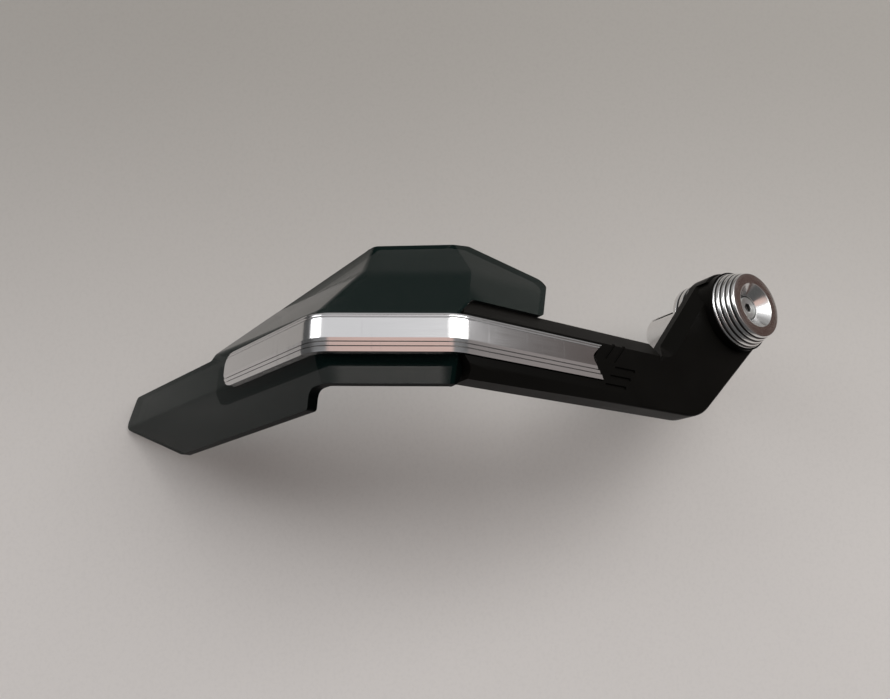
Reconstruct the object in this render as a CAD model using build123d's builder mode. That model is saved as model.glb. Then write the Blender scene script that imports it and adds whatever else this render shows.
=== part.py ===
"""Bar end hand guard for the left grip of a motorcycle, in millimetres.

X runs inboard along the handlebar from its end, Y runs forward and Z runs up.
"""
import os
from math import cos, radians, sin, tan

from build123d import *

os.makedirs("parts", exist_ok=True)

# Bar end stack, along X from the end of the handlebar
plug_radius = 8.9
plug_length = 20.0
collar_radius = 15.0
collar_length = 6.5
bolt_radius = 2.5
bolt_gap = 0.3
bolt_head_radius = 4.2
bolt_head_height = 2.2
bolt_hex = 3.0
bolt_hex_depth = 1.4
collar_ring_count = 3
sleeve_root = 7.0
sleeve_slit = 1.6
slit_turn = 45.0
spigot_radius = 7.2
spigot_length = 1.0
recess_gap = 0.15
sleeve_lip = 1.6
nut_wall = 1.8
nut_travel = 4.0
nut_gap = 0.1

# Bar end cap
cap_radius = 14.4
cap_height = 7.5
cap_face_radius = 11.8
cone_radius = 8.2
head_sink = 4.4
cap_ring_count = 5
ring_depth = 0.8

# Arm
boss_radius = 15.6
boss_depth = 10.5
rim_height = 0.8
rim_gap = 0.25
arm_depth = 8.0
front_edge_angle = 51.0
rear_edge_angle = 42.0
elbow_radius = 16.0
leg_top = -17.5
leg_bottom = -42.0
bevel_tilt = 40.0
bevel_side = 3.6
face_margin = 1.15
edge_round = 0.8
skirt_top = -37.4
skirt_fall = 1.2
skirt_lean = 1.6
skirt_end = 50.0
skirt_fade = 0.05
wall = 3.0
rib = 2.0
inner_radius = 8.0
inner_break = 1.0
core_count = 3
core_stop = 24.0
core_rib_y = 20.0
core_rib_z = -26.0
core_rib_angle = 45.0

# Chevron marks on the face of the arm, beside the fishtail end of the strip
chevron_count = 2
dash_count = 3
chevron_length = 8.5
chevron_width = 1.0
chevron_depth = 0.6
chevron_slant = 50.0
chevron_inset = 4.6
chevron_rise = 5.2
chevron_pitch = 3.6
chevron_fall = 0.8
dash_inset = 10.0
dash_drop = 0.7
dash_shift = 2.2
dash_pitch = 3.0

# Guard line: the seat of the strip, straight along Y and then bent inboard twice
pocket_depth = 1.5
bend_y = 117.4
bend_1 = 31.0
mid_length = 38.6
bend_2 = 47.0
bend_radius = 9.0

# Trim strip
strip_drop = 29.95
strip_width = 11.0
strip_thickness = 2.5
strip_start = 66.3
strip_run = 51.0
strip_end_radius = 4.5
fishtail_depth = 2.8
fishtail_rise = 1.4
fishtail_round = 3.0
strip_gap = 0.2
step_width = 0.8
step_depth = 0.2
strip_groove_count = 3
groove_pitch = 1.3
groove_width = 0.6
groove_depth = 0.5

# Wind deflector
sheet = 2.5
fold_margin = 1.5
fold_round = 3.5
upper_tilt = 40.0
side_turn = 2.0
side_tilt = 43.0
lip_start = -2.7
lip_tilt = 28.0
lip_depth = 8.0
flap_tilt = 34.0
flap_proud = 1.2
lower_fold = -34.2
lower_tilt = 30.0
flap_bottom = -16.8
flap_foot = 32.9
flap_reach = 45.1
flap_end_top = 1.9
flap_shoulder = 17.9
flap_blend = 7.0
flap_top = 11.2
mid_top = 9.6
mid_fall = 3.0
nose = 4.0
nose_level = -39.2
nose_rake = 2.9
nose_tail = 4.4
fit_gap = 0.3
corner_x = 24.5
corner_top = 8.2
shoulder_x = 64.0
shoulder_top = -3.0
wing_start_x = 72.0
wing_top = -22.1
wing_end_x = 141.2
tip_x = 149.4
heel_x = 111.2
heel_drop = 1.6
wing_bottom = -47.35
mid_bottom = -42.5
step_x = 17.5
step_slope = 5.5
step_round = 8.0
trim_round = 3.0

# Tongue of the arm behind the deflector
tongue_margin = 1.5
tongue_chamfer = 1.8
tongue_run = 66.7
tongue_start = 96.0
tongue_gap = 0.1
tongue_end_round = 1.5

# Fixing screws, from behind through the arm and the deflector into the strip
screw_inset = 12.0
screw_radius = 1.5
screw_grip = 4.2
screw_reach = 1.8
screw_head_radius = 2.75
screw_head_height = 2.0
screw_hex = 2.0
screw_hex_depth = 1.0
screw_chamfer = 0.5
washer_radius = 3.25
washer_thickness = 0.5
screw_gap = 0.2
pad_radius = 4.6

# Places worked out from the sizes above
arm_back = -collar_length
arm_face = arm_back - arm_depth
cap_seat = arm_back - boss_depth
cap_face = cap_seat - cap_height
strip_seat = arm_face + pocket_depth
strip_z = -strip_drop
upper_fold = strip_z + strip_width / 2 + fold_margin
heading_1 = bend_1
heading_2 = bend_1 + bend_2
overrun = Vector(trim_round, trim_round, trim_round)


def along(heading):
    """Unit vector along the guard line at a heading, which turns from +Y towards +X."""
    return Vector(sin(radians(heading)), cos(radians(heading)), 0)


def inward(heading):
    """Unit vector from the seat towards the rider's hand at a heading."""
    return Vector(cos(radians(heading)), -sin(radians(heading)), 0)


bend_at_1 = Vector(strip_seat, bend_y, 0)
bend_at_2 = bend_at_1 + along(heading_1) * mid_length


def guard_line(depth, start, run):
    """Corner points of the guard line at a depth behind the seat, from start on Y to a run past bend 2."""
    level = Vector(0, 0, strip_z)
    first = Vector(strip_seat + depth, start, 0)
    corner_1 = bend_at_1 + inward(bend_1 / 2) * (depth / cos(radians(bend_1 / 2)))
    corner_2 = bend_at_2 + inward(bend_1 + bend_2 / 2) * (depth / cos(radians(bend_2 / 2)))
    last = bend_at_2 + along(heading_2) * run + inward(heading_2) * depth
    return [point + level for point in (first, corner_1, corner_2, last)]


def station(place):
    """Plane at a fixing screw on the seat: origin on the strip's middle line, normal away from the hand."""
    point, heading = place
    return Plane(
        origin=point + Vector(0, 0, strip_z),
        x_dir=(0, 0, 1),
        z_dir=-inward(heading),
    )


leg_screws = [Vector(strip_seat, strip_start + screw_inset, 0), Vector(strip_seat, bend_y - screw_inset, 0)]
mid_screw = bend_at_1 + along(heading_1) * (mid_length / 2)
left_screws = [bend_at_2 + along(heading_2) * run for run in (screw_inset, strip_run - screw_inset)]
leg_stations = [station((point, 0)) for point in leg_screws]
tongue_stations = [station((mid_screw, heading_1))]
tongue_stations += [station((point, heading_2)) for point in left_screws]
stations = leg_stations + tongue_stations

# Wind deflector: a folded sheet, cut out of two nested blocks bounded by its panels
def panel(point, heading, tilt, depth):
    """Plane of one panel at a depth below its outer face; tilt leans it back from upright."""
    out = -inward(heading) * cos(radians(tilt)) + Vector(0, 0, sin(radians(tilt)))
    return Plane(origin=point - out * depth, z_dir=out)


def lip_point(bend, heading, tilt):
    """Point of an upper panel where its lip starts."""
    reach = (lip_start - upper_fold) * tan(radians(tilt))
    return bend + inward(heading) * reach + Vector(0, 0, lip_start)


def panels(depth, lip):
    """Planes of all the panels at a depth below the outer face, with the lips or the panels under them."""
    up = Vector(0, 0, upper_fold)
    low = Vector(0, 0, lower_fold)
    side = heading_2 - side_turn
    upper = [
        panel(bend_at_1 + up, heading_1, upper_tilt, depth),
        panel(bend_at_2 + up, side, side_tilt, depth),
    ]
    if lip:
        upper = [
            panel(lip_point(bend_at_1, heading_1, upper_tilt), heading_1, lip_tilt, depth),
            panel(lip_point(bend_at_2, side, side_tilt), side, lip_tilt, depth),
        ]
    return upper + [
        panel(bend_at_1, 0, 0, depth),
        panel(bend_at_1, heading_1, 0, depth),
        panel(bend_at_2, heading_2, 0, depth),
        panel(bend_at_1 + up - Vector(flap_proud, 0, 0), 0, flap_tilt, depth),
        panel(bend_at_1 + low, 0, -lower_tilt, depth),
        panel(bend_at_1 + low, heading_1, -lower_tilt, depth),
        panel(bend_at_2 + low, heading_2, -lower_tilt, depth),
    ]


tip_y = bend_at_2.Y + (tip_x - bend_at_2.X) / tan(radians(heading_2))
block_low = Vector(strip_seat, bend_y - flap_reach, wing_bottom - heel_drop) - overrun
block_high = Vector(tip_x, tip_y, flap_top) + overrun
block = block_high - block_low
block_middle = block_low + block / 2


def is_fold(edge, low):
    """True for an edge between two panels, which runs through the inside of the block above a level."""
    reach = edge.center() - block_middle
    inside = [abs(a) < b / 2 - 0.01 for a, b in zip(reach, block)]
    return all(inside) and edge.center().Z > low + 0.01


def panel_block(depth, radius, lip):
    """Block behind one set of panels at a depth below their outer face, with rounded folds."""
    low = lip_start - lip_depth if lip else block_low.Z
    with BuildPart() as body:
        with Locations(block_middle):
            Box(*block)
        split(bisect_by=Plane.XY.offset(low), keep=Keep.TOP)
        for plane in panels(depth, lip):
            split(bisect_by=plane, keep=Keep.BOTTOM)
        fillet(body.edges().filter_by(lambda edge: is_fold(edge, low)), radius)
    return body.part


def folded_block(depth, radius):
    """Block behind all the panels and their lips at a depth below the outer face."""
    with BuildPart() as body:
        add(panel_block(depth, radius, False))
        add(panel_block(depth, radius, True))
    return body.part


def side_outline(gap):
    """Outline of the deflector seen along the bar, grown by a gap where it meets the arm."""
    nose_y = bend_y - nose - gap
    foot = flap_bottom - gap
    return [
        (nose_y + nose_tail, block_low.Z),
        (nose_y, nose_level),
        (nose_y + nose_rake, strip_z - strip_width / 2),
        (nose_y + nose_rake, upper_fold),
        (nose_y - nose_rake, foot),
        (bend_y - flap_foot - gap, foot),
        (bend_y - flap_reach, flap_end_top),
        (bend_y - flap_shoulder, flap_top),
        (bend_y - flap_shoulder + flap_blend, mid_top),
        (block_high.Y, mid_top - mid_fall),
        (block_high.Y, block_low.Z),
    ]


def side_shape(gap):
    """Filled side outline with rounded corners, grown by a gap where it meets the arm."""
    with BuildSketch(Plane.YZ) as shape:
        with BuildLine():
            Polyline(*side_outline(gap), close=True)
        make_face()
        fillet(shape.vertices().filter_by_position(Axis.X, 0, bend_y), trim_round)
    return shape.sketch


front_outline = [
    (strip_seat - sheet, mid_bottom),
    (step_x, mid_bottom),
    (step_x + step_slope, wing_bottom),
    (heel_x, wing_bottom - heel_drop),
    (tip_x, lower_fold),
    (wing_end_x, wing_top),
    (wing_start_x, wing_top),
    (shoulder_x, shoulder_top),
    (corner_x, corner_top),
    (strip_seat - sheet, mid_top + corner_x),
]

outer_block = folded_block(0, fold_round)
inner_block = folded_block(sheet, fold_round - sheet)
deflector_shape = side_shape(0)
notch_shape = side_shape(fit_gap)

strip_outer = Plane(
    origin=(strip_seat, strip_start, strip_z),
    x_dir=(-1, 0, 0),
    z_dir=(0, 1, 0),
)
bed_start = bend_y - screw_inset

with BuildPart() as strip_bed:
    with BuildLine() as bed_path:
        FilletPolyline(
            *guard_line(0, bed_start, strip_run),
            radius=bend_radius,
        )
    with BuildSketch(strip_outer.offset(bed_start - strip_start)):
        with Locations((strip_thickness, 0)):
            Rectangle(strip_thickness * 2, strip_width + strip_gap * 2)
    sweep(path=bed_path.line)

with BuildPart() as wind_deflector:
    add(outer_block)
    add(inner_block, mode=Mode.SUBTRACT)
    with BuildSketch(Plane.XZ) as front_cut:
        with BuildLine():
            Polyline(*front_outline, close=True)
        make_face()
        fillet(front_cut.vertices().filter_by_position(Axis.X, step_x + step_slope, tip_x), trim_round)
        fillet(front_cut.vertices().filter_by_position(Axis.X, step_x, step_x), step_round)
    extrude(amount=block.Y * 2, both=True, mode=Mode.INTERSECT)
    extrude(deflector_shape, amount=block.X * 2, both=True, mode=Mode.INTERSECT)
    add(strip_bed.part, mode=Mode.SUBTRACT)
    for place in tongue_stations:
        with BuildSketch(place):
            Circle(screw_radius + screw_gap)
        extrude(amount=sheet * 2, both=True, mode=Mode.SUBTRACT)
wind_deflector.part.label = "wind_deflector"
export_step(wind_deflector.part, "parts/wind_deflector.step")

# Trim strip: one grooved profile swept along the bent guard line
strip_end = Plane(
    origin=bend_at_2 + along(heading_2) * strip_run + Vector(0, 0, strip_z),
    x_dir=along(heading_2),
    z_dir=-inward(heading_2),
)


def fishtail(gap):
    """Outline of the notched right end of the strip, from its tips to past the bend, seen along the bar."""
    half = strip_width / 2 + gap
    return [
        (strip_start - gap, strip_z + half),
        (strip_start + fishtail_depth - gap, strip_z + fishtail_rise),
        (strip_start - gap, strip_z - half),
        (bend_y + nose, strip_z - half),
        (bend_y + nose, strip_z + half),
    ]


with BuildPart() as trim_strip:
    with BuildLine() as strip_path:
        FilletPolyline(
            *guard_line(0, strip_start, strip_run),
            radius=bend_radius,
        )
    with BuildSketch(strip_outer):
        with Locations((strip_thickness / 2, 0)):
            Rectangle(strip_thickness, strip_width)
        for step in range(2):
            depth = step_depth * (2 - step)
            with Locations((strip_thickness, strip_width / 2 - step_width * (step + 0.5))):
                Rectangle(depth * 2, step_width, mode=Mode.SUBTRACT)
        for groove in range(strip_groove_count):
            with Locations((strip_thickness, groove_pitch * (groove + 0.75) - strip_width / 2)):
                Rectangle(groove_depth * 2, groove_width, mode=Mode.SUBTRACT)
    sweep(path=strip_path.line)
    with BuildSketch(Plane.YZ.offset(strip_seat)) as notch:
        with BuildLine():
            Polyline(*fishtail(0)[:3], close=True)
        make_face()
        fillet(notch.vertices().sort_by(Axis.X)[-1], fishtail_round)
    extrude(amount=-strip_thickness * 2, mode=Mode.SUBTRACT)
    with BuildSketch(strip_end):
        Rectangle(strip_end_radius * 2, strip_width * 2)
        with Locations((-strip_end_radius * 2, 0)):
            RectangleRounded(strip_end_radius * 4, strip_width, strip_end_radius, mode=Mode.SUBTRACT)
    extrude(amount=strip_thickness * 2, both=True, mode=Mode.SUBTRACT)
    for place in stations:
        with BuildSketch(place):
            Circle(screw_radius)
        extrude(amount=screw_reach + screw_gap, mode=Mode.SUBTRACT)
trim_strip.part.label = "trim_strip"
export_step(trim_strip.part, "parts/trim_strip.step")

# Guard arm: boss, short leg down to the elbow, bevelled leg and the tongue behind the deflector
front_turn = radians(90 - front_edge_angle)
rear_turn = radians(-90 - rear_edge_angle)
front_touch = (boss_radius * cos(front_turn), boss_radius * sin(front_turn))
rear_touch = (boss_radius * cos(rear_turn), boss_radius * sin(rear_turn))
boss_far = (-boss_radius * sin(front_turn), boss_radius * cos(front_turn))
elbow_front = front_touch[0] + (front_touch[1] - leg_bottom) / tan(radians(front_edge_angle))
elbow_rear = rear_touch[0] + (rear_touch[1] - leg_bottom) / tan(radians(rear_edge_angle))
face_top = strip_z + strip_width / 2 + face_margin
bevel_back = arm_face + (leg_top - face_top) * tan(radians(bevel_tilt))
tongue_half = strip_width / 2 + tongue_margin
tongue_front = strip_seat + sheet + tongue_gap
tongue_depth = arm_back - tongue_front
tongue_skirt = lower_fold - strip_z + tongue_half + sheet * tan(radians(lower_tilt / 2)) + tongue_gap
leg_start = elbow_rear + elbow_radius
leg_end = bend_y + nose
core_start = elbow_front + wall
core_end = bend_y - core_stop
core_top = leg_top - wall - fit_gap
core_bottom = leg_bottom + wall
core_pitch = (core_end - core_start + rib) / core_count


def short_leg_outline():
    """Boss end and short leg seen along the bar, down to the elbow."""
    with BuildLine() as line:
        Polyline(front_touch, (elbow_front, leg_bottom), (elbow_rear, leg_bottom), rear_touch)
        ThreePointArc(rear_touch, boss_far, front_touch)
    return line.line


def relief(x, side, drop, radius):
    """Space above the leg at X, moved into the short leg by side and into the leg by drop."""
    run = 1 / tan(radians(front_edge_angle))
    shift = side / sin(radians(front_edge_angle))
    low = leg_top - drop
    corner_y = front_touch[0] + (front_touch[1] - low) * run - shift
    with BuildSketch(Plane.YZ.offset(x)) as space:
        with BuildLine():
            Polyline(
                (front_touch[0] - shift, front_touch[1]),
                (corner_y, low),
                (leg_end, low),
                (leg_end, front_touch[1]),
                close=True,
            )
        make_face()
        corner = space.vertices().group_by(Axis.Z)[0].sort_by(Axis.Y)[0]
        fillet(corner, radius)
    return space.sketch


bevel_sections = [
    relief(bevel_back, 0, 0, inner_break),
    relief(arm_face, bevel_side, leg_top - face_top, inner_radius),
]


def skirt(y, top, lean):
    """Corner cut off the lower front edge of the leg at Y, from a level on the face back to a lean."""
    with BuildSketch(Plane.XZ.offset(-y)) as corner:
        with BuildLine():
            Polyline(
                (arm_face, top),
                (arm_face + lean, leg_bottom),
                (arm_face - wall, leg_bottom - wall),
                close=True,
            )
        make_face()
    return corner.sketch


skirt_sections = [
    skirt(leg_end, skirt_top, skirt_lean),
    skirt(skirt_end, skirt_top - skirt_fall, skirt_fade),
]

tongue_root = Plane(
    origin=(tongue_front, tongue_start, strip_z),
    x_dir=(1, 0, 0),
    z_dir=(0, 1, 0),
)

with BuildPart() as tongue:
    with BuildLine() as tongue_path:
        Polyline(*guard_line(sheet + tongue_gap, tongue_start, tongue_run))
    with BuildSketch(tongue_root):
        with BuildLine():
            Polyline(
                (0, tongue_chamfer - tongue_half),
                (tongue_chamfer, -tongue_half),
                (tongue_depth, -tongue_half),
                (tongue_depth, tongue_half),
                (tongue_skirt * tan(radians(lower_tilt)), tongue_half),
                (0, tongue_half - tongue_skirt),
                close=True,
            )
        make_face()
    sweep(path=tongue_path.line, transition=Transition.RIGHT)
    fillet(tongue.edges().filter_by(Axis.Z).group_by(Axis.X)[-1], tongue_end_round)


with BuildPart() as guard_arm:
    with BuildSketch(Plane.YZ.offset(arm_face)) as short_leg:
        add(short_leg_outline())
        make_face()
        elbow = short_leg.vertices().sort_by(Axis.Y)[:2].sort_by(Axis.X)[0]
        fillet(elbow, elbow_radius)
    extrude(amount=arm_depth)
    with BuildSketch(Plane.YZ.offset(arm_face)):
        with Locations(((leg_start + leg_end) / 2, (leg_top + leg_bottom) / 2)):
            Rectangle(leg_end - leg_start, leg_top - leg_bottom)
    extrude(amount=arm_depth)
    rim_edges = guard_arm.faces().sort_by(Axis.X)[0].outer_wire().edges()
    fillet(rim_edges, edge_round)
    loft(bevel_sections, ruled=True, mode=Mode.SUBTRACT)
    extrude(notch_shape, amount=block.X, both=True, mode=Mode.SUBTRACT)
    loft(skirt_sections, ruled=True, mode=Mode.SUBTRACT)
    with BuildSketch(Plane.YZ.offset(cap_seat - rim_height)):
        Circle(boss_radius - edge_round)
    extrude(amount=boss_depth + rim_height)
    chamfer(guard_arm.faces().sort_by(Axis.X)[0].outer_wire().edges(), edge_round / 2)
    with BuildSketch(Plane.YZ.offset(cap_seat)):
        Circle(cap_radius + rim_gap)
    extrude(amount=-rim_height * 2, mode=Mode.SUBTRACT)
    with BuildSketch(Plane.YZ.offset(strip_seat)) as pocket:
        with BuildLine():
            Polyline(*fishtail(strip_gap), close=True)
        make_face()
        fillet(pocket.vertices().sort_by(Axis.X)[2], fishtail_round)
    extrude(amount=-pocket_depth * 2, mode=Mode.SUBTRACT)
    add(strip_bed.part, mode=Mode.SUBTRACT)
    with BuildSketch(Plane.YZ.offset(arm_face)):
        for stroke in range(chevron_count):
            stroke_y = strip_start - chevron_inset - chevron_pitch * stroke
            with Locations((stroke_y, strip_z + chevron_rise - chevron_fall * stroke)):
                Rectangle(chevron_length, chevron_width, rotation=-chevron_slant)
        for stroke in range(dash_count):
            stroke_y = strip_start - dash_inset + dash_shift * stroke
            with Locations((stroke_y, strip_z - dash_drop - dash_pitch * stroke)):
                Rectangle(chevron_length, chevron_width)
    extrude(amount=chevron_depth, mode=Mode.SUBTRACT)
    with BuildSketch(Plane.YZ.offset(arm_back)):
        add(short_leg_outline())
        make_face()
        offset(amount=-wall, mode=Mode.REPLACE)
        Circle(boss_radius, mode=Mode.SUBTRACT)
        with Locations((core_rib_y, core_rib_z)):
            Rectangle(boss_radius * 3, rib, rotation=core_rib_angle, mode=Mode.SUBTRACT)
    extrude(amount=wall - arm_depth, mode=Mode.SUBTRACT)
    with BuildSketch(Plane.YZ.offset(arm_back)):
        with Locations(((core_start + core_end) / 2, (core_top + core_bottom) / 2)):
            with GridLocations(core_pitch, 0, core_count, 1):
                Rectangle(core_pitch - rib, core_top - core_bottom)
    extrude(amount=strip_seat + wall - arm_back, mode=Mode.SUBTRACT)
    add(tongue.part)
    for place in leg_stations:
        with BuildSketch(place.offset(-wall)):
            Circle(pad_radius)
        extrude(amount=wall - screw_grip)
    for place in stations:
        with BuildSketch(place.offset(-screw_grip)):
            Circle(washer_radius + screw_gap)
        extrude(amount=-tongue_depth, mode=Mode.SUBTRACT)
        with BuildSketch(place):
            Circle(screw_radius + screw_gap)
        extrude(amount=-screw_grip * 2, mode=Mode.SUBTRACT)
    with BuildSketch(Plane.YZ.offset(arm_back)):
        Circle(bolt_radius + bolt_gap)
    extrude(amount=-boss_depth * 2, mode=Mode.SUBTRACT)
guard_arm.part.label = "guard_arm"
export_step(guard_arm.part, "parts/guard_arm.step")

# Bar end cap: turned, with rings on its tapered wall and a cone round the bolt head
head_seat = cap_face + head_sink + bolt_head_height


def ringed_wall(start, end, count):
    """Points of a turned wall from start to end, cut into rings by V grooves."""
    steps = count * 2
    points = []
    for step in range(steps + 1):
        share = step / steps
        depth = ring_depth * (step % 2)
        points.append((
            start[0] + (end[0] - start[0]) * share,
            start[1] + (end[1] - start[1]) * share - depth,
        ))
    return points


with BuildPart() as bar_end_cap:
    with BuildSketch(Plane.XY):
        with BuildLine():
            Polyline(
                (cap_seat, bolt_radius + bolt_gap),
                *ringed_wall((cap_seat, cap_radius), (cap_face, cap_face_radius), cap_ring_count),
                (cap_face, cone_radius),
                (cap_face + head_sink, bolt_head_radius + bolt_gap),
                (head_seat, bolt_head_radius + bolt_gap),
                (head_seat, bolt_radius + bolt_gap),
                close=True,
            )
        make_face()
    revolve(axis=Axis.X)
bar_end_cap.part.label = "bar_end_cap"
export_step(bar_end_cap.part, "parts/bar_end_cap.step")

# Bar end bolt: low head with a hexagon socket, long enough to draw the wedge nut
with BuildPart() as bar_end_bolt:
    with BuildSketch(Plane.YZ.offset(head_seat)):
        Circle(bolt_head_radius)
    extrude(amount=-bolt_head_height)
    chamfer(bar_end_bolt.edges().sort_by(Axis.X)[0], bolt_gap)
    with BuildSketch(Plane.YZ.offset(head_seat)):
        Circle(bolt_radius)
    extrude(amount=plug_length - head_seat)
    chamfer(bar_end_bolt.edges().sort_by(Axis.X)[-1], bolt_gap * 2)
    with BuildSketch(Plane.YZ.offset(head_seat - bolt_head_height)):
        RegularPolygon(bolt_hex / 2, 6, major_radius=False)
    extrude(amount=bolt_hex_depth, mode=Mode.SUBTRACT)
bar_end_bolt.part.label = "bar_end_bolt"
export_step(bar_end_bolt.part, "parts/bar_end_bolt.step")

# Spacer collar between the arm and the end of the handlebar
with BuildPart() as spacer_collar:
    with BuildSketch(Plane.XY):
        with BuildLine():
            Polyline(
                (arm_back, bolt_radius + bolt_gap),
                *ringed_wall((arm_back, collar_radius), (0, collar_radius), collar_ring_count),
                (0, plug_radius + recess_gap),
                (-spigot_length, plug_radius + recess_gap),
                (-spigot_length, bolt_radius + bolt_gap),
                close=True,
            )
        make_face()
    revolve(axis=Axis.X)
spacer_collar.part.label = "spacer_collar"
export_step(spacer_collar.part, "parts/spacer_collar.step")

# Expander plug: a split sleeve that grips the bore of the handlebar when the nut is drawn in
nut_small = bolt_radius + nut_wall
nut_large = plug_radius - sleeve_lip
nut_slope = (nut_large - nut_small) / (plug_length - sleeve_root)

with BuildPart() as plug_sleeve:
    with BuildSketch(Plane.XY):
        with BuildLine():
            Polyline(
                (-spigot_length, bolt_radius + bolt_gap),
                (-spigot_length, spigot_radius),
                (0, spigot_radius),
                (0, plug_radius),
                (plug_length - sleeve_lip, plug_radius),
                (plug_length, plug_radius - sleeve_lip / 2),
                (plug_length, nut_large),
                (sleeve_root, nut_small),
                (sleeve_root, bolt_radius + bolt_gap),
                close=True,
            )
        make_face()
    revolve(axis=Axis.X)
    with BuildSketch(Plane.YZ.offset(plug_length)):
        Rectangle(plug_radius * 3, sleeve_slit, rotation=slit_turn)
        Rectangle(sleeve_slit, plug_radius * 3, rotation=slit_turn)
    extrude(amount=sleeve_root - plug_length, mode=Mode.SUBTRACT)
plug_sleeve.part.label = "plug_sleeve"
export_step(plug_sleeve.part, "parts/plug_sleeve.step")

# Wedge nut inside the mouth of the sleeve
nut_start = sleeve_root + nut_travel

with BuildPart() as wedge_nut:
    with BuildSketch(Plane.XY):
        with BuildLine():
            Polyline(
                (nut_start, bolt_radius),
                (nut_start, nut_small + nut_slope * nut_travel - nut_gap),
                (plug_length, nut_large - nut_gap),
                (plug_length, bolt_radius),
                close=True,
            )
        make_face()
    revolve(axis=Axis.X)
wedge_nut.part.label = "wedge_nut"
export_step(wedge_nut.part, "parts/wedge_nut.step")

# Fixing screws and their washers
for number, place in enumerate(stations, 1):
    with BuildPart() as washer:
        with BuildSketch(place.offset(-screw_grip)):
            Circle(washer_radius)
            Circle(screw_radius + screw_gap, mode=Mode.SUBTRACT)
        extrude(amount=-washer_thickness)
    washer.part.label = f"fixing_washer_{number}"
    export_step(washer.part, f"parts/fixing_washer_{number}.step")
    with BuildPart() as screw:
        with BuildSketch(place.offset(-screw_grip - washer_thickness)):
            Circle(screw_head_radius)
        extrude(amount=-screw_head_height)
        head_rim = screw.faces().sort_by(lambda face: place.to_local_coords(face.center()).Z)[0]
        chamfer(head_rim.edges(), screw_chamfer)
        with BuildSketch(place.offset(-screw_grip - washer_thickness - screw_head_height)):
            RegularPolygon(screw_hex / 2, 6, major_radius=False)
        extrude(amount=screw_hex_depth, mode=Mode.SUBTRACT)
        with BuildSketch(place.offset(-screw_grip - washer_thickness)):
            Circle(screw_radius)
        extrude(amount=screw_grip + washer_thickness + screw_reach)
    screw.part.label = f"fixing_screw_{number}"
    export_step(screw.part, f"parts/fixing_screw_{number}.step")
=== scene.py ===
"""Looks of the left bar end hand guard: soft edges, turned metal, finishes, table, light, camera."""

import logging
import math
from dataclasses import dataclass, field, replace
from enum import Enum
from typing import Any

import bmesh
import bpy
from mathutils import Matrix, Vector


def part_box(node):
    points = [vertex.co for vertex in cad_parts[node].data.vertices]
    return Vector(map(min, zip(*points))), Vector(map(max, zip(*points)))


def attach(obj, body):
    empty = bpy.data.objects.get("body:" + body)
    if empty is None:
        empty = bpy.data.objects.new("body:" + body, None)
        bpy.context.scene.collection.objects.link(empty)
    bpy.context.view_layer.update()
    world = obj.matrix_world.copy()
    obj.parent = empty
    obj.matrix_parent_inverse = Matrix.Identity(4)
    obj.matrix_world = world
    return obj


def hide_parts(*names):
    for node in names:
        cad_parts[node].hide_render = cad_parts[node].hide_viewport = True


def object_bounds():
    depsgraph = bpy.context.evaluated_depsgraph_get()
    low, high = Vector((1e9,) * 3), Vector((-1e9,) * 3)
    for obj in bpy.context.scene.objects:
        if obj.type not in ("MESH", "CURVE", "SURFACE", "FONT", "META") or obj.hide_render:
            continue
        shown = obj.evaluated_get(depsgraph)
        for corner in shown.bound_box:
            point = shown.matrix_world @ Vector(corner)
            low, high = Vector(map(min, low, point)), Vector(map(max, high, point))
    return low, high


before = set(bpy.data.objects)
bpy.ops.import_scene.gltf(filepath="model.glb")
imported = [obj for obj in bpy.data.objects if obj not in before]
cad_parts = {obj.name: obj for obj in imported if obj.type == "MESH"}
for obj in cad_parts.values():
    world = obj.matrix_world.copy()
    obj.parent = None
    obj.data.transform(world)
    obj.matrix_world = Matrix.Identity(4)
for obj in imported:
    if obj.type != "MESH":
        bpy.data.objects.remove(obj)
CAD_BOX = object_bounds()

LOG = logging.getLogger("hand_guard")
MM = 0.001
BODY = "root"

IMAGE_WIDTH = 890
MERGE = 0.0005 * MM
FLAT_ANGLE = math.radians(0.5)
CORNER_SEGMENTS = 4

Pair = tuple[float, float]
Triple = tuple[float, float, float]
Colour = Triple


class Blend(Enum):
    """How two colours are laid over each other."""

    MIX = "MIX"
    MULTIPLY = "MULTIPLY"


class Field:
    """A shader socket that can be used in Python sums."""

    def __init__(self, shader: "Shader", socket: bpy.types.NodeSocket) -> None:
        """Keep the socket and the shader that it belongs to."""
        self.shader = shader
        self.socket = socket

    def _math(self, operation: str, *values: Any) -> "Field":
        """Add a Math node.

        Args:
            operation: Name of the node's operation.
            values: Numbers or fields, in the order of the node's inputs.

        Returns:
            The node's result.
        """
        inputs = dict(enumerate(values))
        return self.shader.node("ShaderNodeMath", {"operation": operation}, inputs)

    def __add__(self, other: Any) -> "Field":
        """Sum of two fields."""
        return self._math("ADD", self, other)

    def __radd__(self, other: Any) -> "Field":
        """Sum with a number on the left."""
        return self._math("ADD", other, self)

    def __sub__(self, other: Any) -> "Field":
        """Difference of two fields."""
        return self._math("SUBTRACT", self, other)

    def __rsub__(self, other: Any) -> "Field":
        """Difference with a number on the left."""
        return self._math("SUBTRACT", other, self)

    def __mul__(self, other: Any) -> "Field":
        """Product of two fields."""
        return self._math("MULTIPLY", self, other)

    def __rmul__(self, other: Any) -> "Field":
        """Product with a number on the left."""
        return self._math("MULTIPLY", other, self)

    def sine(self) -> "Field":
        """Sine of a field in radians."""
        return self._math("SINE", self)

    def root(self) -> "Field":
        """Square root of a field."""
        return self._math("SQRT", self)

    def ramp(self, low: float, high: float) -> "Field":
        """Smooth step of the field from low to high."""
        settings = {"interpolation_type": "SMOOTHSTEP"}
        return self.shader.node("ShaderNodeMapRange", settings, {0: self, 1: low, 2: high})


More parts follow.
